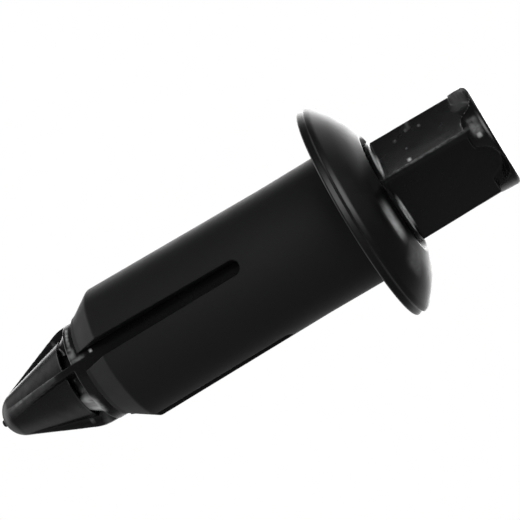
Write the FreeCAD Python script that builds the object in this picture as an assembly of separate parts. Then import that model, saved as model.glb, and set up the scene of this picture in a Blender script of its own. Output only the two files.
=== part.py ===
import FreeCAD, Part
import math
import os

# Plastic push rivet in millimetres: a split sleeve with a domed flange, and the pin pushed into it.
# Origin at the centre of the flange's seating face, +Z along the axis towards the pin's nose.

# Barrel and legs
barrel_r = 3.81
barrel_wall = 0.74
shank_length = 4.0
barrel_length = 14.7
leg_flare = 0.2
leg_chamfer_length = 1.3
leg_lip_length = 0.45
leg_lip_wall = 0.15
leg_end_wall = 0.05
leg_count = 4
slot_start = 6.2
slot_closed_width = 0.86
slot_open_width = 1.08

# Flange, as widths beyond the barrel and the bore
flange_overhang = 2.46
rim_height = 0.7
rim_dome_round = 0.6
rim_seat_chamfer = 0.15
dome_height = 2.2
dome_shoulder_width = 1.3
dome_shoulder_height = 1.68
dome_curve_r = 6.2
mouth_bevel_width = 0.35
mouth_depth = 0.75
mouth_lip_width = 0.18

# Pin shaft and grip, as depths below the shaft
bore_clearance = 0.07
push_travel = 6.1
ledge_above_crest = 0.3
flat_depth = 0.93
flat_hollow_r = 23.0
flat_fillet = 0.2
scallop_r = 0.98
grip_waist_depth = 0.09
grip_waist_round = 1.0
cap_side = 1.16
cap_depth = 0.03
cap_edge_round = 0.4

# Pin tip
shoulder_past_legs = 0.65
shoulder_chamfer = 0.1
rib_straight = 0.83
tip_taper_deg = 22.3
nose_r = 1.36
gate_r = 0.22
gate_height = 0.18
neck_depth = 1.1
neck_gap = 0.75
core_depth = 0.6
rib_crest_width = 0.34
rib_root_width = 0.86
rib_bend_r = 2.5

# Worked out from the sizes above
bore_r = barrel_r - barrel_wall
leg_r = barrel_r + leg_flare
leg_lip_r = bore_r + leg_lip_wall
leg_end_r = bore_r + leg_end_wall
leg_lip_z = barrel_length + leg_chamfer_length
flange_r = barrel_r + flange_overhang
dome_shoulder_r = flange_r - dome_shoulder_width
mouth_r = bore_r + mouth_bevel_width
mouth_lip_r = mouth_r + mouth_lip_width
sleeve_end = leg_lip_z + leg_lip_length
shaft_r = bore_r - bore_clearance
flat_distance = shaft_r - flat_depth
neck_r = shaft_r - neck_depth
head_end = -dome_height - push_travel
cap_top = head_end + cap_side
ledge_z = -dome_height - ledge_above_crest
shoulder_z = sleeve_end + shoulder_past_legs
taper_z = shoulder_z + rib_straight
core_z = shoulder_z + neck_gap
tip_tilt = math.radians(tip_taper_deg)
taper = math.tan(tip_tilt)
tip_length = (shaft_r - nose_r * (1 / math.cos(tip_tilt) - taper)) / taper
nose_z = taper_z + tip_length
overcut = 1.0


def point(r, z):
    return FreeCAD.Vector(r, 0, z)


def outline(corners):
    # Closed outline in the XZ plane. Each corner is (r, z, rounding), rounded as far as its sides allow.
    # Two rounded corners share the side between them.
    edges = []
    starts = []
    ends = []
    count = len(corners)
    for i in range(count):
        r, z, rounding = corners[i]
        before = corners[i - 1]
        after = corners[(i + 1) % count]
        here = point(r, z)
        back = point(*before[:2]) - here
        ahead = point(*after[:2]) - here
        back_room = back.Length * (0.49 if before[2] else 0.98)
        ahead_room = ahead.Length * (0.49 if after[2] else 0.98)
        half = back.getAngle(ahead) / 2
        reach = min(rounding / math.tan(half), back_room, ahead_room)
        if reach < 1e-6 or half > math.radians(89.9):
            starts.append(here)
            ends.append(here)
            edges.append(None)
            continue
        back.normalize()
        ahead.normalize()
        start = here + back * reach
        end = here + ahead * reach
        bisector = back + ahead
        bisector.normalize()
        radius = reach * math.tan(half)
        middle = here + bisector * (radius / math.sin(half) - radius)
        starts.append(start)
        ends.append(end)
        edges.append(Part.Arc(start, middle, end).toShape())
    wire = []
    for i in range(count):
        if edges[i]:
            wire.append(edges[i])
        following = (i + 1) % count
        if ends[i].distanceToPoint(starts[following]) > 1e-6:
            wire.append(Part.LineSegment(ends[i], starts[following]).toShape())
    return Part.Wire(wire)


def turned(corners):
    face = Part.Face(outline(corners))
    return face.revolve(FreeCAD.Vector(0, 0, 0), FreeCAD.Vector(0, 0, 1), 360)


def around(shape, count, first_deg=0):
    copies = []
    for i in range(count):
        copy = shape.copy()
        copy.rotate(FreeCAD.Vector(0, 0, 0), FreeCAD.Vector(0, 0, 1), first_deg + i * 360 / count)
        copies.append(copy)
    return copies


def slot_cutter():
    # Open at the leg ends, round at its closed end, a little wider towards the leg ends.
    closed = slot_closed_width / 2
    opened = slot_open_width / 2
    far = sleeve_end + overcut
    tip = FreeCAD.Vector(0, 0, slot_start)
    left = FreeCAD.Vector(0, -closed, slot_start + closed)
    right = FreeCAD.Vector(0, closed, slot_start + closed)
    far_left = FreeCAD.Vector(0, -opened, far)
    far_right = FreeCAD.Vector(0, opened, far)
    edges = [
        Part.Arc(left, tip, right).toShape(),
        Part.LineSegment(right, far_right).toShape(),
        Part.LineSegment(far_right, far_left).toShape(),
        Part.LineSegment(far_left, left).toShape(),
    ]
    return Part.Face(Part.Wire(edges)).extrude(FreeCAD.Vector(flange_r, 0, 0))


def make_sleeve():
    body = turned([
        (bore_r, -dome_height + mouth_depth, 0),
        (mouth_r, -dome_height, 0),
        (mouth_lip_r, -dome_height, 0),
        (dome_shoulder_r, -dome_shoulder_height, dome_curve_r),
        (flange_r, -rim_height, rim_dome_round),
        (flange_r, -rim_seat_chamfer, 0),
        (flange_r - rim_seat_chamfer, 0, 0),
        (barrel_r, 0, 0),
        (barrel_r, shank_length, 0),
        (leg_r, barrel_length, 0),
        (leg_lip_r, leg_lip_z, 0),
        (leg_end_r, sleeve_end, 0),
        (bore_r, sleeve_end, 0),
    ])
    return body.cut(around(slot_cutter(), leg_count))


def flat_cutter():
    # One hollow-ground flat of the grip: a slice of a large cylinder, with a ledge at the shaft
    # and a round scallop in the cap.
    axis_x = flat_distance + flat_hollow_r
    slab = Part.makeCylinder(flat_hollow_r, ledge_z - head_end, FreeCAD.Vector(axis_x, 0, head_end))
    scallop = Part.makeCylinder(scallop_r, flange_r, FreeCAD.Vector(0, 0, cap_top), FreeCAD.Vector(1, 0, 0))
    straight = Part.makeBox(flange_r, 2 * shaft_r, ledge_z - cap_top, FreeCAD.Vector(0, -shaft_r, cap_top))
    cutter = slab.common(scallop.fuse(straight)).removeSplitter()
    ledge_edges = []
    for edge in cutter.Edges:
        box = edge.BoundBox
        if box.ZMin > ledge_z - flat_fillet and box.XMax < shaft_r - flat_fillet and box.YLength > shaft_r:
            ledge_edges.append(edge)
    return cutter.makeFillet(flat_fillet, ledge_edges)


def make_grip_and_shaft():
    cap_r = shaft_r - cap_depth
    body = turned([
        (0, head_end, 0),
        (cap_r, head_end, cap_edge_round),
        (shaft_r - grip_waist_depth, cap_top, grip_waist_round),
        (shaft_r, ledge_z, 0),
        (shaft_r, shoulder_z - shoulder_chamfer, 0),
        (shaft_r - shoulder_chamfer, shoulder_z, 0),
        (neck_r, shoulder_z, 0),
        (neck_r, core_z + overcut, 0),
        (0, core_z + overcut, 0),
    ])
    return body.cut(around(flat_cutter(), leg_count, 180 / leg_count))


def make_tip():
    # Tapered core between four ribs that run out into the round nose, with the stub of the mould's gate.
    nose_centre = nose_z - nose_r
    tangent_z = nose_centre + nose_r * math.sin(tip_tilt)
    tangent_r = nose_r * math.cos(tip_tilt)
    core = turned([
        (0, core_z, 0),
        (shaft_r - core_depth, core_z, 0),
        (tangent_r, tangent_z, 0),
        (0, tangent_z, 0),
    ])
    gate = Part.makeCylinder(gate_r, nose_r + gate_height, FreeCAD.Vector(0, 0, nose_centre))
    nose = Part.makeSphere(nose_r, FreeCAD.Vector(0, 0, nose_centre))
    below = Part.makeBox(4 * nose_r, 4 * nose_r, 4 * nose_r,
                         FreeCAD.Vector(-2 * nose_r, -2 * nose_r, tangent_z - 4 * nose_r))
    nose = nose.cut(below)
    crest = turned([
        (0, shoulder_z - shoulder_chamfer - overcut, 0),
        (shaft_r, shoulder_z - shoulder_chamfer - overcut, 0),
        (shaft_r, taper_z, rib_bend_r),
        (tangent_r, tangent_z, 0),
        (0, tangent_z, 0),
    ])
    half_root = rib_root_width / 2
    half_crest = rib_crest_width / 2
    section = Part.makePolygon([
        FreeCAD.Vector(0, -half_root, 0),
        FreeCAD.Vector(shaft_r, -half_crest, 0),
        FreeCAD.Vector(shaft_r, half_crest, 0),
        FreeCAD.Vector(0, half_root, 0),
        FreeCAD.Vector(0, -half_root, 0),
    ])
    blade = Part.Face(section).extrude(FreeCAD.Vector(0, 0, nose_z))
    ribs = []
    for copy in around(blade, leg_count):
        ribs.append(copy.common(crest))
    return core.fuse([nose, gate] + ribs)


def make_push_pin():
    return make_grip_and_shaft().fuse(make_tip()).removeSplitter()


def one_solid(shape, name):
    if len(shape.Solids) != 1 or not shape.isValid():
        print(name, "is not one valid solid:", len(shape.Solids), shape.isValid())
    return shape.Solids[0]


parts = {"sleeve": make_sleeve(), "push_pin": make_push_pin()}
os.makedirs("parts", exist_ok=True)
for name, shape in parts.items():
    solid = one_solid(shape, name)
    solid.exportStep("parts/" + name + ".step")
    box = solid.BoundBox
    print(name, "volume", round(solid.Volume, 3), "z", round(box.ZMin, 3), round(box.ZMax, 3))
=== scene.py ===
import math
import bmesh
import bpy
import numpy as np
from mathutils import Matrix, Vector


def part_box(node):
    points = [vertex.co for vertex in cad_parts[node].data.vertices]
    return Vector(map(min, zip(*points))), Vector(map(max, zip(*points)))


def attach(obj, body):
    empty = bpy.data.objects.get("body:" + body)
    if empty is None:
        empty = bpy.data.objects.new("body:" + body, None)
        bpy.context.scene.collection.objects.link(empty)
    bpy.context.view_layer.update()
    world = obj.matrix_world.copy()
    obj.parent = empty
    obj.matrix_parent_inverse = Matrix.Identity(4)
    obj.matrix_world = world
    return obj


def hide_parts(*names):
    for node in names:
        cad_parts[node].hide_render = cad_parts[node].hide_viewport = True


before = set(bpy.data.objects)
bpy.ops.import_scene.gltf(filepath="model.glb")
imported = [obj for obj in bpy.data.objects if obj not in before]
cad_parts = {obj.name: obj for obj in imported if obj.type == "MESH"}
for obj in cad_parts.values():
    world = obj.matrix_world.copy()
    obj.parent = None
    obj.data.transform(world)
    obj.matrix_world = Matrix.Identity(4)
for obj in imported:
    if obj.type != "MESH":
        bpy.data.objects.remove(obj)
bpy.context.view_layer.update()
print("frame loaded:", sorted(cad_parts))

mm = 0.001
quarterTurn = math.pi / 2
latticeSize = 32  # random values a side of the noise's lattice
mergeDistance = 2e-7  # metres
leastEdge = 1e-8  # metres
sleeveLow, sleeveHigh = [np.array(corner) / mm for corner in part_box("sleeve")]
pinLow, pinHigh = [np.array(corner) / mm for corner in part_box("push_pin")]


# Helpers for shapes, all in millimetres

def softMin(a, b, blend):
    # Smaller of two values, rounded over where they differ by less than blend
    h = np.clip(0.5 + 0.5 * (b - a) / blend, 0, 1)
    return b * (1 - h) + a * h - blend * h * (1 - h)


def softMax(a, b, blend):
    return -softMin(-a, -b, blend)


def smoothStep(low, high, x):
    # 0 below low, 1 above high, and t t (3 - 2 t) between them
    t = np.clip((x - low) / (high - low), 0, 1)
    return t * t * (3 - 2 * t)


def edgeDrop(distance, rounding):
    # How far a rounded edge falls back at a distance from it: the rounding minus the height of its circle there
    near = np.clip(rounding - distance, 0, rounding)
    return rounding - np.sqrt(np.maximum(rounding ** 2 - near ** 2, 0))


def polar(r, angle, z):
    # Points at (r cos angle, r sin angle, z)
    return np.stack(np.broadcast_arrays(r * np.cos(angle), r * np.sin(angle), z), -1)


def valueNoise(points, cell, seed):
    # Random values on a cubic lattice, blended smoothly between its corners; -1 to 1
    lattice = np.random.default_rng(seed).uniform(-1, 1, (latticeSize, latticeSize, latticeSize))
    scaled = points / cell
    base = np.floor(scaled).astype(int)
    f = scaled - base
    f = f * f * (3 - 2 * f)
    total = np.zeros(points.shape[:-1])
    for corner in np.ndindex(2, 2, 2):
        weight = np.ones(points.shape[:-1])
        for axis in range(3):
            weight = weight * (f[..., axis] if corner[axis] else 1 - f[..., axis])
        i, j, k = [(base[..., axis] + corner[axis]) % latticeSize for axis in range(3)]
        total = total + weight * lattice[i, j, k]
    return total


def roundedOutline(corners, arcSteps, gap):
    # Open outline through (r, z, rounding) corners: arcs at the corners, straight runs no longer than gap
    points = [np.array(corners[0][:2], float)]
    for before, here, after in zip(corners[:-2], corners[1:-1], corners[2:]):
        c = np.array(here[:2], float)
        back = np.array(before[:2]) - c
        ahead = np.array(after[:2]) - c
        backLength, aheadLength = np.linalg.norm(back), np.linalg.norm(ahead)
        back, ahead = back / backLength, ahead / aheadLength
        half = math.acos(np.clip(back @ ahead, -1, 1)) / 2
        reach = min(here[2] / math.tan(half), 0.49 * backLength, 0.49 * aheadLength)
        if reach < 1e-6:
            points.append(c)
            continue
        radius = reach * math.tan(half)
        centre = c + (back + ahead) / np.linalg.norm(back + ahead) * radius / math.sin(half)
        start = c + back * reach - centre
        end = c + ahead * reach - centre
        turn = math.acos(np.clip(start @ end / radius ** 2, -1, 1))
        t = np.linspace(0, 1, arcSteps)[:, None]
        arc = (np.sin((1 - t) * turn) * start + np.sin(t * turn) * end) / math.sin(turn)
        points.extend(centre + arc)
    points.append(np.array(corners[-1][:2], float))
    filled = [points[0]]
    for a, b in zip(points[:-1], points[1:]):
        pieces = max(1, int(math.ceil(np.linalg.norm(b - a) / gap)))
        filled.extend(a + (b - a) * k / pieces for k in range(1, pieces + 1))
    return np.array(filled)


def gridFaces(rows, columns, start, closed):
    # Quads between neighbouring rows and columns of a grid of vertices
    i, j = np.meshgrid(np.arange(rows - 1), np.arange(columns if closed else columns - 1), indexing="ij")
    across = (j + 1) % columns
    return start + np.stack([i * columns + j, i * columns + across,
                             (i + 1) * columns + across, (i + 1) * columns + j], -1).reshape(-1, 4)


def meshPiece(name, grids, closed):
    # One closed mesh from grids of points, merged where they meet, with its faces turned outwards
    vertices, faces = [], []
    start = 0
    for points in grids:
        rows, columns = points.shape[:2]
        faces.append(gridFaces(rows, columns, start, closed))
        vertices.append(points.reshape(-1, 3))
        start += rows * columns
    mesh = bpy.data.meshes.new(name)
    mesh.from_pydata((np.concatenate(vertices) * mm).tolist(), [], np.concatenate(faces).tolist())
    piece = bpy.data.objects.new(name, mesh)
    bpy.context.scene.collection.objects.link(piece)
    work = bmesh.new()
    work.from_mesh(mesh)
    bmesh.ops.remove_doubles(work, verts=work.verts, dist=mergeDistance)
    bmesh.ops.dissolve_degenerate(work, dist=leastEdge, edges=work.edges)
    bmesh.ops.recalc_face_normals(work, faces=work.faces)
    work.to_mesh(mesh)
    work.free()
    mesh.shade_smooth()
    print(name, "has", len(mesh.polygons), "faces")
    return piece


# Depth and least radius of the pale marks, and the cells of the grain that breaks them up
scuffAndHighlightMarks = {"depth": 0.12, "leastRadius": 1, "coarseGrain": 0.17, "fineGrain": 0.07, "usualGrain": 0.4}


def paleMarks(piece, marks):
    # One value per vertex for scuffs, flash, specks, painted highlights and a painted glint: each is pale * grain *
    # exp(-(across^4 + along^4))
    points = np.empty(len(piece.data.vertices) * 3, np.float32)
    piece.data.vertices.foreach_get("co", points)
    points = points.reshape(-1, 3) / mm
    r = np.hypot(points[:, 0], points[:, 1])
    azimuth = np.degrees(np.arctan2(points[:, 1], points[:, 0]))
    broken = valueNoise(points, scuffAndHighlightMarks["coarseGrain"], 7) + 0.5 * valueNoise(points, scuffAndHighlightMarks["fineGrain"], 8)
    pale = np.zeros(len(points))
    for mark in marks:
        aside, height = mark["at"]
        width, length = mark["size"]
        across = np.radians((azimuth - aside + 180) % 360 - 180) * r
        distance = np.abs(across / width) ** 4 + np.abs((points[:, 2] - height) / length) ** 4
        if "radius" in mark:
            distance = distance + np.abs((r - mark["radius"]) / scuffAndHighlightMarks["depth"]) ** 4
        grain = 1 + mark.get("grain", scuffAndHighlightMarks["usualGrain"]) * broken
        pale = np.maximum(pale, mark["pale"] * grain * np.exp(-distance))
    pale = np.where(r > scuffAndHighlightMarks["leastRadius"], pale, 0)
    layer = piece.data.attributes.new("pale", "FLOAT", "POINT")
    layer.data.foreach_set("value", np.clip(pale, 0, 1).astype(np.float32))
    print(piece.name, "has", len(marks), "pale marks")


# The sleeve: domed flange, barrel and four legs

sleeve = {
    "boreRadius": 3.07, "mouthRadius": 3.42, "mouthDepth": 0.75, "mouthRound": 0.2,
    "crestRadius": 3.6, "crestRound": 0.22,
    "domeShoulderRadius": 4.97, "domeShoulderHeight": 1.68, "domeCurve": 6.2,
    "rimHeight": 0.7, "rimDomeRound": 0.6, "rimSeatRound": 0.16, "rimLean": 0.1, "seatEdgeRound": 0.05,
    "grooveHeight": 0.42, "grooveWidth": 0.12, "grooveDepth": 0.07, "grooveRound": 0.06,
    "barrelRadius": 3.81, "rootRound": 0.15, "shankLength": 4.0, "flareRound": 1.0,
    "legRadius": 4.01, "chamferStart": 14.92, "legRound": 0.35,
    "lipStart": 16.2, "lipRadius": 3.22, "lipRound": 0.3, "legEndRadius": 3.12, "legEndRound": 0.02,
    "slotStart": 6.2, "slotClosedWidth": 0.86, "slotOpenWidth": 1.08,
    "slotEdgeRound": 0.04, "boreEdgeRound": 0.02, "leastWall": 0.03,
    "boreOverlap": 1.0, "boreGap": 0.4,  # how far the outline starts inside the bore, and the bore's rows
    "plainEnd": 1,  # no slots below this height
    "arcSteps": 9, "longestRun": 0.28, "roundRows": 12, "wallSteps": 5, "quarterColumns": 56,
    "rowsBelowSlot": [0.3, 0.2, 0.12, 0.07, 0.03],
    "edgeColumns": [0, 0.1, 0.25, 0.45, 0.7, 1.0, 1.5],  # roundings away from a slot
    "marks": [
        # painted highlight: a pale strip along the crest's outer edge; then a painted reflection, a faint pale patch
        # on the dome's outer slope
        {"at": (-31, -1.88), "size": (1.0, 0.13), "pale": 0.6, "grain": 0.3},
        {"at": (-62, -1.7), "size": (0.8, 0.3), "pale": 0.12},
    ],
}


def slotHalfWidth(z):
    # Round closed end, sqrt(c^2 - (z - centre)^2), then straight sides that open towards the leg ends
    s = sleeve
    closed, opened = s["slotClosedWidth"] / 2, s["slotOpenWidth"] / 2
    centre = s["slotStart"] + closed
    inRound = np.sqrt(np.maximum(closed ** 2 - np.minimum(z - centre, 0) ** 2, 0))
    along = closed + (opened - closed) * np.clip((z - centre) / (sleeveHigh[2] - centre), 0, 1)
    return np.where(z < s["slotStart"], 0, np.where(z < centre, inRound, along))


def slotDistance(arc, z):
    # Distance from the nearest slot's edge, along the surface
    closed = sleeve["slotClosedWidth"] / 2
    centre = sleeve["slotStart"] + closed
    return np.where(z < centre, np.hypot(arc, z - centre) - closed, arc - slotHalfWidth(z))


def quarterColumns(radii, heights):
    # Angles across one leg, close together beside the slots: arc lengths over the radius, mirrored at the middle
    near = sleeve["slotEdgeRound"] * np.array(sleeve["edgeColumns"])
    half = sleeve["quarterColumns"] // 2
    t = np.linspace(0, 1, half - len(near) + 1)[1:]
    start = np.arcsin(np.clip(slotHalfWidth(heights) / radii, 0, 1))
    halfArc = (quarterTurn / 2 - start) * radii
    first = np.broadcast_to(near, (len(heights), len(near)))
    rest = near[-1] + (halfArc[:, None] - near[-1]) * t
    left = start[:, None] + np.concatenate([first, rest], 1) / radii[:, None]
    return np.concatenate([left, (quarterTurn - left)[:, -2::-1]], 1)


def slottedColumns(radii, heights):
    # Angles across one leg for each row, and how far the slot's rounded edge falls back from the surface there
    beyond = heights > sleeve["plainEnd"]
    angle = quarterColumns(radii, np.where(beyond, heights, 0))
    arc = np.minimum(angle, quarterTurn - angle) * radii[:, None]
    drop = edgeDrop(slotDistance(arc, heights[:, None]), sleeve["slotEdgeRound"])
    return angle, np.where(beyond[:, None], drop, 0)


def ruled(edge, opposite):
    # Even steps in radius, angle and height from one edge to the opposite one: a + (b - a) t
    t = np.linspace(0, 1, sleeve["wallSteps"])
    return edge[..., None] + (opposite - edge)[..., None] * t


def sleeveOutline():
    # Radius and height from inside the bore over the mouth, crest, dome and rim, up the barrel to the leg ends
    s = sleeve
    crest, rim, end = sleeveLow[2], sleeveHigh[0], sleeveHigh[2]
    groove, grooveHalf = -s["grooveHeight"], s["grooveWidth"] / 2
    return roundedOutline([
        (s["boreRadius"], crest + s["mouthDepth"] + s["boreOverlap"], 0),
        (s["boreRadius"], crest + s["mouthDepth"], s["mouthRound"]),
        (s["mouthRadius"], crest, s["crestRound"]),
        (s["crestRadius"], crest, s["crestRound"]),
        (s["domeShoulderRadius"], -s["domeShoulderHeight"], s["domeCurve"]),
        (rim - s["rimLean"], -s["rimHeight"], s["rimDomeRound"]),
        (rim, groove - grooveHalf, s["grooveRound"]),
        (rim - s["grooveDepth"], groove, s["grooveRound"] / 2),
        (rim - s["rimLean"], groove + grooveHalf, s["grooveRound"]),
        (rim, -s["rimSeatRound"] / 2, s["rimSeatRound"]),
        (rim - s["rimSeatRound"] / 2, 0, s["seatEdgeRound"]),
        (s["barrelRadius"], 0, s["rootRound"]),
        (s["barrelRadius"], s["shankLength"], s["flareRound"]),
        (s["legRadius"], s["chamferStart"], s["legRound"]),
        (s["lipRadius"], s["lipStart"], s["lipRound"]),
        (s["legEndRadius"], end, s["legEndRound"]),
        (s["boreRadius"], end, 0),
    ], s["arcSteps"], s["longestRun"])


def sleeveRows():
    # The outline's rows in the flange and on the barrel, which gets more of them at the slots' round ends
    s = sleeve
    outline = sleeveOutline()
    onBarrel = outline[:, 1] > s["plainEnd"]
    roundEnd = s["slotClosedWidth"] / 2 * (1 - np.cos(np.linspace(0, quarterTurn, s["roundRows"])))
    heights = s["slotStart"] + np.concatenate([-np.array(s["rowsBelowSlot"]), roundEnd])
    straight = outline[onBarrel & (outline[:, 1] < s["chamferStart"])]
    added = np.stack([np.interp(heights, straight[:, 1], straight[:, 0]), heights], -1)
    barrel = np.concatenate([outline[onBarrel], added])
    upAndIn = barrel[:, 1] - 1e-4 * barrel[:, 0]  # rows at the same height go inwards
    return outline[~onBarrel], barrel[np.argsort(upAndIn, kind="stable")]


def makeSleeve():
    # Outside and bore as (radius, angle, height) grids of one quarter; slot walls ruled between them
    s = sleeve
    flange, barrel = sleeveRows()
    outer = np.concatenate([flange, barrel])
    radii, heights = outer[:, :1], outer[:, 1:]
    angle, drop = slottedColumns(outer[:, 0], outer[:, 1])
    drop = np.minimum(drop, np.maximum(radii - s["boreRadius"] - s["leastWall"], 0))
    outside = np.stack(np.broadcast_arrays(radii - drop, angle, heights))
    plain = np.arange(s["plainEnd"] - s["boreGap"] / 2, outer[0, 1], -s["boreGap"])
    heights = np.concatenate([barrel[::-1, 1], plain, outer[:1, 1]])
    angle, drop = slottedColumns(np.full(len(heights), s["boreRadius"]), heights)
    radii = s["boreRadius"] + np.minimum(drop, s["boreEdgeRound"])
    radii[0] = s["boreRadius"]  # meets the leg ends
    bore = np.stack(np.broadcast_arrays(radii, angle, heights[:, None]))
    surfaces = [outside, bore]
    cut = np.count_nonzero(barrel[:, 1] >= s["slotStart"] - 1e-9)
    for column in (0, -1):
        surfaces.append(ruled(outside[:, -cut:, column], bore[:, :cut, column][:, ::-1]))
    grids = []
    for quarter in range(4):
        for r, angle, z in surfaces:
            grids.append(polar(r, angle + quarter * quarterTurn, z))
    piece = meshPiece("splitSleeve", grids, False)
    paleMarks(piece, s["marks"])
    return piece


# The push pin: cap, grip with four flats, shaft and ribbed tip

pin = {
    "shaftRadius": 3.0, "capRadius": 2.97, "capSide": 1.16, "capEdgeRound": 0.28,
    "gripCornerRadius": 2.91, "gripRound": 1.0, "gripEndRound": 0.1, "gripBlend": 0.06, "gripMargin": 0.05,
    "flatDistance": 2.07, "flatHollowRadius": 23.0,
    "scallopRadius": 0.98, "scallopRound": 0.12, "scallopBlend": 0.3, "scallopSteepness": 8,
    "ledgeHeight": -2.4, "ledgeRound": 0.1, "ledgeWall": 5.0,
    "shoulderHeight": 17.1, "shoulderRound": 0.1, "neckRadius": 1.9, "neckRound": 0.05,
    "coreHeight": 17.85, "coreRadius": 2.4, "taperHeight": 17.93, "taperDegrees": 22.3, "crestBend": 2.5,
    "ribCrestWidth": 0.34, "ribRootWidth": 0.86, "ribRound": 0.05, "crestMargin": 0.002,
    "gateRadius": 0.22, "gateHeight": 0.18, "gateTaper": 0.92, "gateRound": 0.06,
    "wave": 0.012, "waveCell": 1.1, "ripple": 0.004, "rippleCell": 0.35, "mostUneven": 0.004,
    "columns": 240, "evenShare": 0.45,
    "arcSteps": 10, "longestRun": 0.4, "gateSteps": 6, "coreRows": 60, "noseRows": 24,
    "rowsFrom": 0.42,  # above the head end; scallop rows end past the cap, and flat rows follow them
    "scallopRowsPast": 0.4, "scallopRowGap": 0.035, "flatRowsPast": 0.43, "flatRowsEnd": -3.0, "flatRowGap": 0.065,
    "ledgeRows": [-0.5, -0.4, -0.33, -0.28, -0.24, -0.2, -0.16, -0.12, -0.09, -0.06,
                  -0.04, -0.02, -0.01, -0.004, 0.0, 0.004, 0.02, 0.05, 0.1],
    "shoulderRowsFrom": 1.6, "shoulderRowsTo": 0.12, "shoulderRowGap": 0.06,  # below the shoulder
    "wallShares": [0.12, 0.3, 0.5, 0.7, 0.88, 0.96, 1.0],  # rows of the core's end face, from neck to core
    "wallRises": [0, 0, 0, 0, 0.005, 0.015, 0.04], "coreRowsFrom": 0.07,
    "flashFall": 0.18, "flashFade": (0.6, 1.3), "flashFill": 1.4, "flashBelow": 0.05, "flashPast": 0.4,
    "flash": [
        {"azimuth": -49, "width": 15, "radius": 2.93},
        {"azimuth": 58, "width": 18, "radius": 2.82},
    ],
    "marks": [
        # painted highlight: a thin pale line along the grip's corner between two flats
        {"at": (3.4, -5.0), "size": (0.1, 2.4), "pale": 0.1, "grain": 0.9},
        {"at": (9.7, -4.0), "size": (0.13, 0.09), "pale": 0.95, "grain": 0},
        {"at": (69, -3.65), "size": (0.14, 0.09), "pale": 0.1},
        {"at": (77, -4.42), "size": (0.12, 0.08), "pale": 0.14},
        {"at": (84, -4.6), "size": (0.3, 0.09), "pale": 0.1},
        {"at": (72, -5.15), "size": (0.11, 0.07), "pale": 0.16},
        {"at": (37, -4.08), "size": (0.1, 0.06), "pale": 0.12},
        # painted highlights: pale lines along the ledges at the ends of two flats
        {"at": (31, -2.44), "size": (0.98, 0.06), "pale": 0.85, "grain": 0.2},
        {"at": (-46, -2.44), "size": (0.9, 0.06), "pale": 0.65, "grain": 0.3},
        {"at": (2, -7.72), "size": (0.48, 0.27), "pale": 0.18, "grain": 0.8},
        {"at": (-8, -7.7), "size": (0.13, 0.12), "pale": 0.7, "grain": 0.2},
        # painted highlight: a faint pale patch on the cap's corner
        {"at": (68, -7.6), "size": (0.55, 0.5), "pale": 0.1, "grain": 0.2},
        # painted highlight: thin pale lines along the near rib's edge, with one on the shaft below it
        {"at": (5.5, 16.65), "size": (0.1, 0.4), "pale": 0.22, "grain": 0.8},
        {"at": (5, 18.3), "size": (0.1, 0.8), "pale": 0.16, "grain": 1},
        {"at": (7, 20.4), "size": (0.1, 1.5), "pale": 0.08, "grain": 1},
        {"at": (40, 16.82), "size": (1.4, 0.09), "pale": 0.3, "grain": 1.2},
        {"at": (14, 16.85), "size": (0.35, 0.2), "pale": 0.16, "grain": 1},
        {"at": (-49, 17.25), "size": (0.62, 0.34), "pale": 0.42, "grain": 0.8},
        {"at": (-85, 18.35), "size": (0.14, 0.1), "pale": 0.16, "radius": 2.5},
        {"at": (-86, 17.43), "size": (0.1, 0.08), "pale": 0.16},
        {"at": (86, 18.46), "size": (0.12, 0.1), "pale": 0.16, "radius": 2.5},
        # painted glint: a tiny white dot on the shaft
        {"at": (6.2, 15.74), "size": (0.08, 0.07), "pale": 1.0, "grain": 0},
    ],
}
capTop = pinLow[2] + pin["capSide"]
taperTilt = math.radians(pin["taperDegrees"])


def pinColumns():
    # Angles round the pin, closer together at the four corners: a sine added to an even share
    even = pin["evenShare"]
    t = np.arange(pin["columns"]) / pin["columns"] * 4
    base = np.floor(t)
    f = t - base - 0.5
    return (base + 0.5 + (0.5 - even / 2) * np.sin(np.pi * f) + even * f) * quarterTurn


def pinOutline():
    # Radius and height of the cap, grip, shaft and neck, with more rows for the scallops, flats, ledge and shoulder
    p = pin
    end, shoulder = pinLow[2], p["shoulderHeight"]
    outline = roundedOutline([
        (0, end, 0),
        (p["capRadius"], end, p["capEdgeRound"]),
        (p["gripCornerRadius"], capTop, p["gripRound"]),
        (p["shaftRadius"], p["ledgeHeight"], p["gripEndRound"]),
        (p["shaftRadius"], shoulder, p["shoulderRound"]),
        (p["neckRadius"], shoulder, p["neckRound"]),
        (p["neckRadius"], p["coreHeight"], 0),
    ], p["arcSteps"], p["longestRun"])
    z = outline[:, 1]
    grip = outline[(z > end + p["rowsFrom"]) & (z < 0)]
    heights = np.concatenate([
        np.arange(end + p["rowsFrom"], capTop + p["scallopRowsPast"], p["scallopRowGap"]),
        np.arange(capTop + p["flatRowsPast"], p["flatRowsEnd"], p["flatRowGap"]),
        p["ledgeHeight"] + np.array(p["ledgeRows"]),
    ])
    grip = np.concatenate([grip, np.stack([np.interp(heights, grip[:, 1], grip[:, 0]), heights], -1)])
    grip = grip[np.argsort(grip[:, 1], kind="stable")]
    heights = np.arange(shoulder - p["shoulderRowsFrom"], shoulder - p["shoulderRowsTo"], p["shoulderRowGap"])
    belowShoulder = np.stack([np.full(len(heights), p["shaftRadius"]), heights], -1)
    return np.concatenate([outline[z <= end + p["rowsFrom"]], grip, outline[(z >= 0) & (z <= heights[0])],
                           belowShoulder, outline[z > heights[-1]]])


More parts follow.
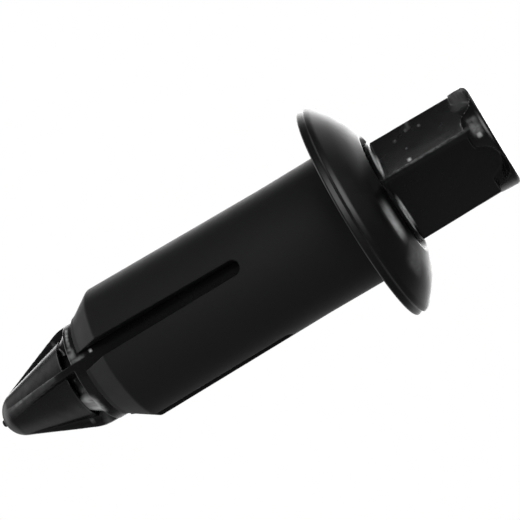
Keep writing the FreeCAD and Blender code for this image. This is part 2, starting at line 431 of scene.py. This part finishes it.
def flattened(r, z, phi):
    # Grip: r is at most a hollow cylinder's near side, a cos(phi) - sqrt(h^2 - (a sin(phi))^2),
    # which rises steeply round the scallop in the cap and at the ledge
    p = pin
    phi = phi % quarterTurn - quarterTurn / 2
    axis = p["flatDistance"] + p["flatHollowRadius"]
    flat = axis * np.cos(phi) - np.sqrt(p["flatHollowRadius"] ** 2 - (axis * np.sin(phi)) ** 2)
    fromCap = z - capTop
    inside = softMax(fromCap, p["scallopRadius"] - np.hypot(flat * np.sin(phi), fromCap), p["scallopBlend"])
    rise = edgeDrop(np.maximum(inside, 0), p["scallopRound"]) + np.maximum(-inside, 0) * p["scallopSteepness"]
    toLedge = p["ledgeHeight"] - z
    ledgeRise = np.where(toLedge < 0, p["ledgeWall"], edgeDrop(toLedge, p["ledgeRound"]))
    onGrip = (z > pinLow[2] + p["gripMargin"]) & (toLedge > -p["gripMargin"])
    return np.where(onGrip, softMin(r, flat + rise + ledgeRise, p["gripBlend"]), r)


def crestRadius(z):
    # Ribs' crest: the shaft's radius, then an arc of the bend's radius, then a straight taper
    p = pin
    half = p["crestBend"] * math.tan(taperTilt / 2)
    along = z - (p["taperHeight"] - half)
    bent = p["crestBend"] - np.sqrt(np.maximum(p["crestBend"] ** 2 - np.clip(along, 0, 2 * half) ** 2, 0))
    straight = math.tan(taperTilt) * (z - p["taperHeight"])
    return p["shaftRadius"] - np.where(along < half * (1 + math.cos(taperTilt)), bent, straight)


def ribRadius(z, phi):
    # Ribs: at an angle a from a rib's middle its side is w / (sin(a) + t cos(a)) from the axis, up to the crest
    p = pin
    a = np.abs((phi + quarterTurn / 2) % quarterTurn - quarterTurn / 2)
    rootHalf, crestHalf = p["ribRootWidth"] / 2, p["ribCrestWidth"] / 2
    thinning = (rootHalf - crestHalf) / p["shaftRadius"]
    side = rootHalf / (np.sin(a) + thinning * np.cos(a))
    return softMin(crestRadius(z), side, p["ribRound"])


def flashRadius(z, phi):
    # Flash left in the groove: its radius at the shoulder, a little less towards the core, fading out round the pin
    p = pin
    along = (z - p["shoulderHeight"]) / (p["coreHeight"] - p["shoulderHeight"])
    filled = np.zeros(np.broadcast(z, phi).shape)
    for flash in p["flash"]:
        aside = np.degrees((phi - math.radians(flash["azimuth"]) + math.pi) % (2 * math.pi) - math.pi)
        window = 1 - smoothStep(*p["flashFade"], np.abs(aside) / flash["width"])
        full = flash["radius"] * np.minimum(window * p["flashFill"], 1)
        filled = np.maximum(filled, full * (1 - p["flashFall"] * along))
    inGroove = (z > p["shoulderHeight"] - p["flashBelow"]) & (z < p["coreHeight"] + p["flashPast"])
    return np.where(inGroove, filled, 0)


def coreAndNose():
    # Radius and height of the core's end face and cone, then of the nose, a ball r = n cos(u), z = c + n sin(u),
    # that the cone touches, with the stub of the mould's gate
    p = pin
    nose = pinHigh[2] - p["gateHeight"]
    slope = math.tan(taperTilt)
    ball = (p["shaftRadius"] - slope * (nose - p["taperHeight"])) / (1 / math.cos(taperTilt) - slope)
    centre = nose - ball
    tangentR, tangentZ = ball * math.cos(taperTilt), centre + ball * math.sin(taperTilt)
    heights = np.linspace(p["coreHeight"] + p["coreRowsFrom"], tangentZ, p["coreRows"])
    t = (heights - p["coreHeight"]) / (tangentZ - p["coreHeight"])
    cone = np.stack([p["coreRadius"] * (1 - t) + tangentR * t, heights], -1)
    wallRadii = p["neckRadius"] + (p["coreRadius"] - p["neckRadius"]) * np.array(p["wallShares"])
    wall = np.stack([wallRadii, p["coreHeight"] + np.array(p["wallRises"])], -1)
    u = np.linspace(taperTilt, math.acos(p["gateRadius"] / ball), p["noseRows"])[1:]
    noseRound = np.stack([ball * np.cos(u), centre + ball * np.sin(u)], -1)
    stub = roundedOutline([
        (p["gateRadius"], noseRound[-1, 1], 0),
        (p["gateRadius"] * p["gateTaper"], nose + p["gateHeight"], p["gateRound"]),
        (0, nose + p["gateHeight"], 0),
    ], p["gateSteps"], p["gateRound"])[1:]
    return np.concatenate([wall, cone]), np.concatenate([noseRound, stub])


def makePin():
    # Radius over height and angle: outline with flats, ribs and flash, core with ribs, nose; then slightly uneven
    p = pin
    phi = pinColumns()
    back = pinOutline()
    r, z = back[:, :1], back[:, 1:]
    r = flattened(r, z, phi)
    inGroove = z > p["shoulderHeight"] - p["shoulderRound"]
    r = np.where(inGroove, np.maximum(r, ribRadius(z, phi)), r)
    r = np.maximum(r, flashRadius(z, phi))
    core, nose = coreAndNose()
    coreZ = core[:, 1:]
    coreR = softMax(core[:, :1], ribRadius(coreZ, phi), p["ribRound"])
    coreR = np.minimum(coreR, crestRadius(coreZ) + p["crestMargin"])
    coreR = np.maximum(coreR, flashRadius(coreZ, phi))
    r = np.concatenate([r, coreR, np.broadcast_to(nose[:, :1], (len(nose), len(phi)))])
    z = np.concatenate([z, coreZ, nose[:, 1:]])
    points = polar(r, phi, z)
    uneven = p["wave"] * valueNoise(points, p["waveCell"], 3) + p["ripple"] * valueNoise(points, p["rippleCell"], 4)
    uneven = uneven * smoothStep(0, 1, r / p["neckRadius"])
    piece = meshPiece("pushPin", [polar(r + np.minimum(uneven, p["mostUneven"]), phi, z)], True)
    paleMarks(piece, p["marks"])
    return piece


# Materials

plastic = {
    "sleeve": {"colour": (0.0042, 0.0041, 0.0045), "roughness": 0.6, "flangeRoughness": 0.34, "spread": 0.08,
               "grain": 0.05},
    "pin": {"colour": (0.0038, 0.0038, 0.0045), "roughness": 0.26, "spread": 0.06, "grain": 0.05},
    # pale colour and roughness for real scuffs and flash, and for the painted highlights and glint
    "scuffAndHighlightLook": {"colour": (0.75, 0.76, 0.76), "roughness": 0.5},
    "cloudScale": 900, "cloudDetail": 4, "grainScale": 6000, "grainDetail": 3,
    "grainHeight": 0.05, "flangeBlend": 0.1,  # millimetres
}


def noiseNode(tree, place, scale, detail):
    # Noise on the piece's own coordinates
    noise = tree.nodes.new("ShaderNodeTexNoise")
    noise.inputs["Scale"].default_value = scale
    noise.inputs["Detail"].default_value = detail
    tree.links.new(place.outputs["Object"], noise.inputs["Vector"])
    return noise.outputs["Fac"]


def plasticMaterial(name, look):
    # Roughness: the look's value plus and minus its spread by a noise, smoother on the flange where the look says so.
    # Colour and roughness go over to the pale ones of the scuffs, flash and painted highlights by the pale value, and
    # a finer noise gives the grain's bump.
    material = bpy.data.materials.new(name)
    material.use_nodes = True
    tree = material.node_tree
    nodes, links = tree.nodes, tree.links
    shader = nodes["Principled BSDF"]
    place = nodes.new("ShaderNodeTexCoord")
    rough = nodes.new("ShaderNodeMapRange")
    rough.inputs["To Min"].default_value = look["roughness"] - look["spread"]
    rough.inputs["To Max"].default_value = look["roughness"] + look["spread"]
    links.new(noiseNode(tree, place, plastic["cloudScale"], plastic["cloudDetail"]), rough.inputs["Value"])
    roughness = rough.outputs["Result"]
    if "flangeRoughness" in look:
        height = nodes.new("ShaderNodeSeparateXYZ")
        links.new(place.outputs["Object"], height.inputs["Vector"])
        smoother = nodes.new("ShaderNodeMapRange")
        smoother.inputs["From Min"].default_value = 0.0
        smoother.inputs["From Max"].default_value = plastic["flangeBlend"] * mm
        smoother.inputs["To Min"].default_value = look["flangeRoughness"] - look["roughness"]
        smoother.inputs["To Max"].default_value = 0.0
        links.new(height.outputs["Z"], smoother.inputs["Value"])
        add = nodes.new("ShaderNodeMath")
        links.new(roughness, add.inputs[0])
        links.new(smoother.outputs["Result"], add.inputs[1])
        roughness = add.outputs["Value"]
    marks = nodes.new("ShaderNodeAttribute")
    marks.attribute_name = "pale"
    scuffAndHighlightLook = plastic["scuffAndHighlightLook"]
    scuffAndHighlightRoughness = nodes.new("ShaderNodeMix")
    scuffAndHighlightRoughness.inputs["B"].default_value = scuffAndHighlightLook["roughness"]
    links.new(marks.outputs["Fac"], scuffAndHighlightRoughness.inputs["Factor"])
    links.new(roughness, scuffAndHighlightRoughness.inputs["A"])
    links.new(scuffAndHighlightRoughness.outputs["Result"], shader.inputs["Roughness"])
    # the pale attribute lightens the colour: real scuffs and flash, and painted highlights
    tint = nodes.new("ShaderNodeMixRGB")
    tint.inputs["Color1"].default_value = look["colour"] + (1,)
    tint.inputs["Color2"].default_value = scuffAndHighlightLook["colour"] + (1,)
    links.new(marks.outputs["Fac"], tint.inputs["Fac"])
    links.new(tint.outputs["Color"], shader.inputs["Base Color"])
    bump = nodes.new("ShaderNodeBump")
    bump.inputs["Strength"].default_value = look["grain"]
    bump.inputs["Distance"].default_value = plastic["grainHeight"] * mm
    links.new(noiseNode(tree, place, plastic["grainScale"], plastic["grainDetail"]), bump.inputs["Height"])
    links.new(bump.outputs["Normal"], shader.inputs["Normal"])
    print("material made:", name)
    return material


splitSleeve = makeSleeve()
splitSleeve.data.materials.append(plasticMaterial("sleevePlastic", plastic["sleeve"]))
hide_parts("sleeve")
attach(splitSleeve, "sleeve")
pushPin = makePin()
pushPin.data.materials.append(plasticMaterial("pinPlastic", plastic["pin"]))
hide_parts("push_pin")
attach(pushPin, "push_pin")


# Camera: below the head end, rolled so that the nose points down and left

view = {"distance": 83.03, "below": 10.99, "azimuth": -14.12, "roll": 30.84,
        "aimHeight": 5.845, "aimAside": -0.553, "lens": 106.55, "sensor": 36, "nearest": 0.001}


def cameraAxes():
    # The picture's right and up, the way back to the camera, and level to the side
    below, azimuth, roll = [math.radians(view[k]) for k in ("below", "azimuth", "roll")]
    down = Vector((0, 0, -1))
    outward = Vector((math.cos(azimuth), math.sin(azimuth), 0))
    back = outward * math.cos(below) - Vector((0, 0, math.sin(below)))
    headward = (down - back * back.dot(down)).normalized()
    aside = Vector((math.sin(azimuth), -math.cos(azimuth), 0))
    right = headward * math.cos(roll) + aside * math.sin(roll)
    up = headward * math.sin(roll) - aside * math.cos(roll)
    return right, up, back, aside


def makeCamera():
    # Looks at a point beside the rivet's axis from its distance
    right, up, back, aside = cameraAxes()
    aim = Vector((0, 0, view["aimHeight"])) + aside * view["aimAside"]
    camera = bpy.data.objects.new("camera", bpy.data.cameras.new("camera"))
    bpy.context.scene.collection.objects.link(camera)
    turn = Matrix((right, up, back)).transposed()
    camera.matrix_world = Matrix.Translation((aim + back * view["distance"]) * mm) @ turn.to_4x4()
    camera.data.lens = view["lens"]
    camera.data.sensor_width = view["sensor"]
    camera.data.clip_start = view["nearest"]
    bpy.context.scene.camera = camera
    print("camera placed")


makeCamera()


# Floor, lamp and world; lengths in metres

studio = {
    "floorSize": 0.6, "floorColour": (0.8, 0.8, 0.8), "floorRoughness": 0.7, "ambient": 0.75, "front": 0.08,
    "glows": [
        {"towards": (168, -4), "reach": 37, "strength": 4.2},
        {"towards": (158, 30), "reach": 36, "strength": 0.5},
        {"towards": (110, -65), "reach": 36, "strength": 1.3},
        {"towards": (-110, -62), "reach": 36, "strength": 0.5},
        {"towards": (-30, -5), "reach": 45, "strength": 0.1},
        {"towards": (-160, -8), "reach": 45, "strength": 0.6},
        {"towards": (28, 32), "reach": 24, "strength": 3.5},
        {"towards": (28, 55), "reach": 24, "strength": 3.5},
        {"towards": (0, -90), "reach": 75, "strength": 0.1},
    ],
    "lamp": {"towards": (68, -50), "power": 0.04, "size": 0.2, "distance": 0.2},
}


def studioDirection(azimuth, up):
    # Degrees round the rivet from the camera's side, and up from square to its axis towards the head end
    azimuth, up, front = math.radians(azimuth), math.radians(up), math.radians(view["azimuth"])
    outward = Vector((math.cos(front), math.sin(front), 0))
    across = Vector((-outward.y, outward.x, 0))
    return (outward * math.cos(azimuth) + across * math.sin(azimuth)) * math.cos(up) + Vector((0, 0, -math.sin(up)))


def makeLamp():
    # Soft disk that faces the rivet and isn't seen in reflections
    look = studio["lamp"]
    data = bpy.data.lights.new("keyLamp", "AREA")
    data.shape = "DISK"
    data.size = look["size"]
    data.energy = look["power"]
    item = bpy.data.objects.new("keyLamp", data)
    bpy.context.scene.collection.objects.link(item)
    direction = studioDirection(*look["towards"]).normalized()
    item.location = Vector((0, 0, view["aimHeight"] * mm)) + direction * look["distance"]
    item.rotation_euler = direction.to_track_quat("Z", "Y").to_euler()
    item.visible_glossy = False


def reflectedStudio(tree, direction):
    # What glossy surfaces see along a direction: dim, with soft glows that fade out at their reach
    nodes, links = tree.nodes, tree.links
    level = None
    for look in studio["glows"]:
        towards = nodes.new("ShaderNodeVectorMath")
        towards.operation = "DOT_PRODUCT"
        towards.inputs[1].default_value = studioDirection(*look["towards"]).normalized()
        links.new(direction, towards.inputs[0])
        glow = nodes.new("ShaderNodeMapRange")
        glow.interpolation_type = "SMOOTHSTEP"
        glow.inputs["From Min"].default_value = math.cos(math.radians(look["reach"]))
        glow.inputs["To Max"].default_value = look["strength"]
        links.new(towards.outputs["Value"], glow.inputs["Value"])
        total = nodes.new("ShaderNodeMath")
        links.new(glow.outputs["Result"], total.inputs[0])
        if level is None:
            total.inputs[1].default_value = studio["front"]
        else:
            links.new(level, total.inputs[1])
        level = total.outputs["Value"]
    return level


def makeFloor():
    # Pale sheet, shadowed from above and open from below, through which reflections see the studio
    half, z = studio["floorSize"] / 2, pinLow[2] * mm
    mesh = bpy.data.meshes.new("floor")
    mesh.from_pydata([(-half, -half, z), (half, -half, z), (half, half, z), (-half, half, z)], [], [(0, 1, 2, 3)])
    floor = bpy.data.objects.new("floor", mesh)
    bpy.context.scene.collection.objects.link(floor)
    material = bpy.data.materials.new("paleFloor")
    material.use_nodes = True
    nodes, links = material.node_tree.nodes, material.node_tree.links
    shader = nodes["Principled BSDF"]
    shader.inputs["Base Color"].default_value = studio["floorColour"] + (1,)
    shader.inputs["Roughness"].default_value = studio["floorRoughness"]
    clear = nodes.new("ShaderNodeBsdfTransparent")
    sides = nodes.new("ShaderNodeNewGeometry")
    path = nodes.new("ShaderNodeLightPath")
    passed = nodes.new("ShaderNodeMath")
    passed.operation = "MAXIMUM"
    links.new(sides.outputs["Backfacing"], passed.inputs[0])
    links.new(path.outputs["Is Glossy Ray"], passed.inputs[1])
    mix = nodes.new("ShaderNodeMixShader")
    links.new(passed.outputs["Value"], mix.inputs[0])
    links.new(shader.outputs["BSDF"], mix.inputs[1])
    links.new(clear.outputs["BSDF"], mix.inputs[2])
    links.new(mix.outputs["Shader"], nodes["Material Output"].inputs["Surface"])
    mesh.materials.append(material)


def makeWorld():
    # Even light, with the glows for glossy rays, and plain white for camera and transmission rays
    world = bpy.data.worlds.new("studio")
    bpy.context.scene.world = world
    world.use_nodes = True
    nodes, links = world.node_tree.nodes, world.node_tree.links
    background = nodes["Background"]
    background.inputs["Color"].default_value = (1, 1, 1, 1)
    place = nodes.new("ShaderNodeTexCoord")
    path = nodes.new("ShaderNodeLightPath")
    reflected = reflectedStudio(world.node_tree, place.outputs["Generated"])
    level = studio["ambient"]
    for ray, source in (("Is Glossy Ray", reflected), ("Is Transmission Ray", 1), ("Is Camera Ray", 1)):
        choose = nodes.new("ShaderNodeMix")
        links.new(path.outputs[ray], choose.inputs["Factor"])
        for socket, value in (("A", level), ("B", source)):
            if isinstance(value, (int, float)):
                choose.inputs[socket].default_value = value
            else:
                links.new(value, choose.inputs[socket])
        level = choose.outputs["Result"]
    links.new(level, background.inputs["Strength"])


makeFloor()
makeWorld()
makeLamp()
bpy.context.scene.view_settings.view_transform = "Standard"
print("studio made with", len(studio["glows"]), "glows")
